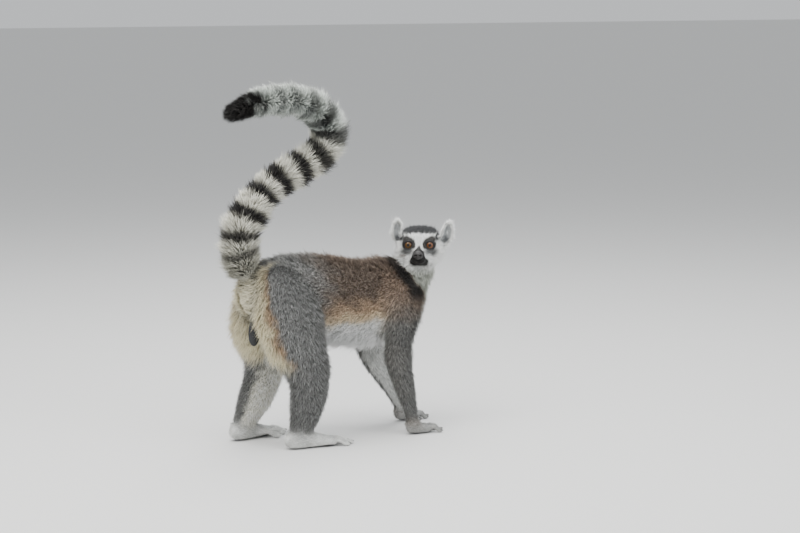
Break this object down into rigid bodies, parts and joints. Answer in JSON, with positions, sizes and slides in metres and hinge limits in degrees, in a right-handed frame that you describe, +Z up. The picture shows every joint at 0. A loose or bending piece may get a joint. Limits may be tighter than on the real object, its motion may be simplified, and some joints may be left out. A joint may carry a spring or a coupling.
{
  "type": "ring-tailed lemur",
  "caption": "Still, life-size ring-tailed lemur standing on all fours, head turned back over its right shoulder, banded tail raised in a hook.",
  "frame": {"origin": "on the floor, under the middle of the bounding box", "axes": "+Z up; the trunk lies along Y and faces -Y; +X is the animal's left"},
  "size_m": [0.1958, 0.4524, 0.5444],
  "materials": {
    "grey_coat": "dense grizzled grey-brown fur",
    "white_coat": "soft white fur with a dark cap and eye patches",
    "ringed_coat": "long fur in black and pale grey rings",
    "pale_foot": "short pale fur over dark leathery soles",
    "dark_skin": "bare dark skin, slightly moist on the nose",
    "eye": "glossy amber iris under a clear cornea"
  },
  "bodies": {
    "root": {"ear_left": "white_coat", "ear_right": "white_coat", "eye_left": "eye", "eye_right": "eye", "foot_left": "pale_foot", "foot_right": "pale_foot", "forearm_left": "grey_coat", "forearm_right": "grey_coat", "hand_left": "pale_foot", "hand_right": "pale_foot", "head": "white_coat", "neck": "white_coat", "nose": "dark_skin", "scrotum": "dark_skin", "shank_left": "grey_coat", "shank_right": "grey_coat", "tail_1": "ringed_coat", "tail_2": "ringed_coat", "tail_3": "ringed_coat", "tail_4": "ringed_coat", "tail_5": "ringed_coat", "tail_6": "ringed_coat", "thigh_left": "grey_coat", "thigh_right": "grey_coat", "trunk": "grey_coat", "upper_arm_left": "grey_coat", "upper_arm_right": "grey_coat"}
  },
  "joints": []
}
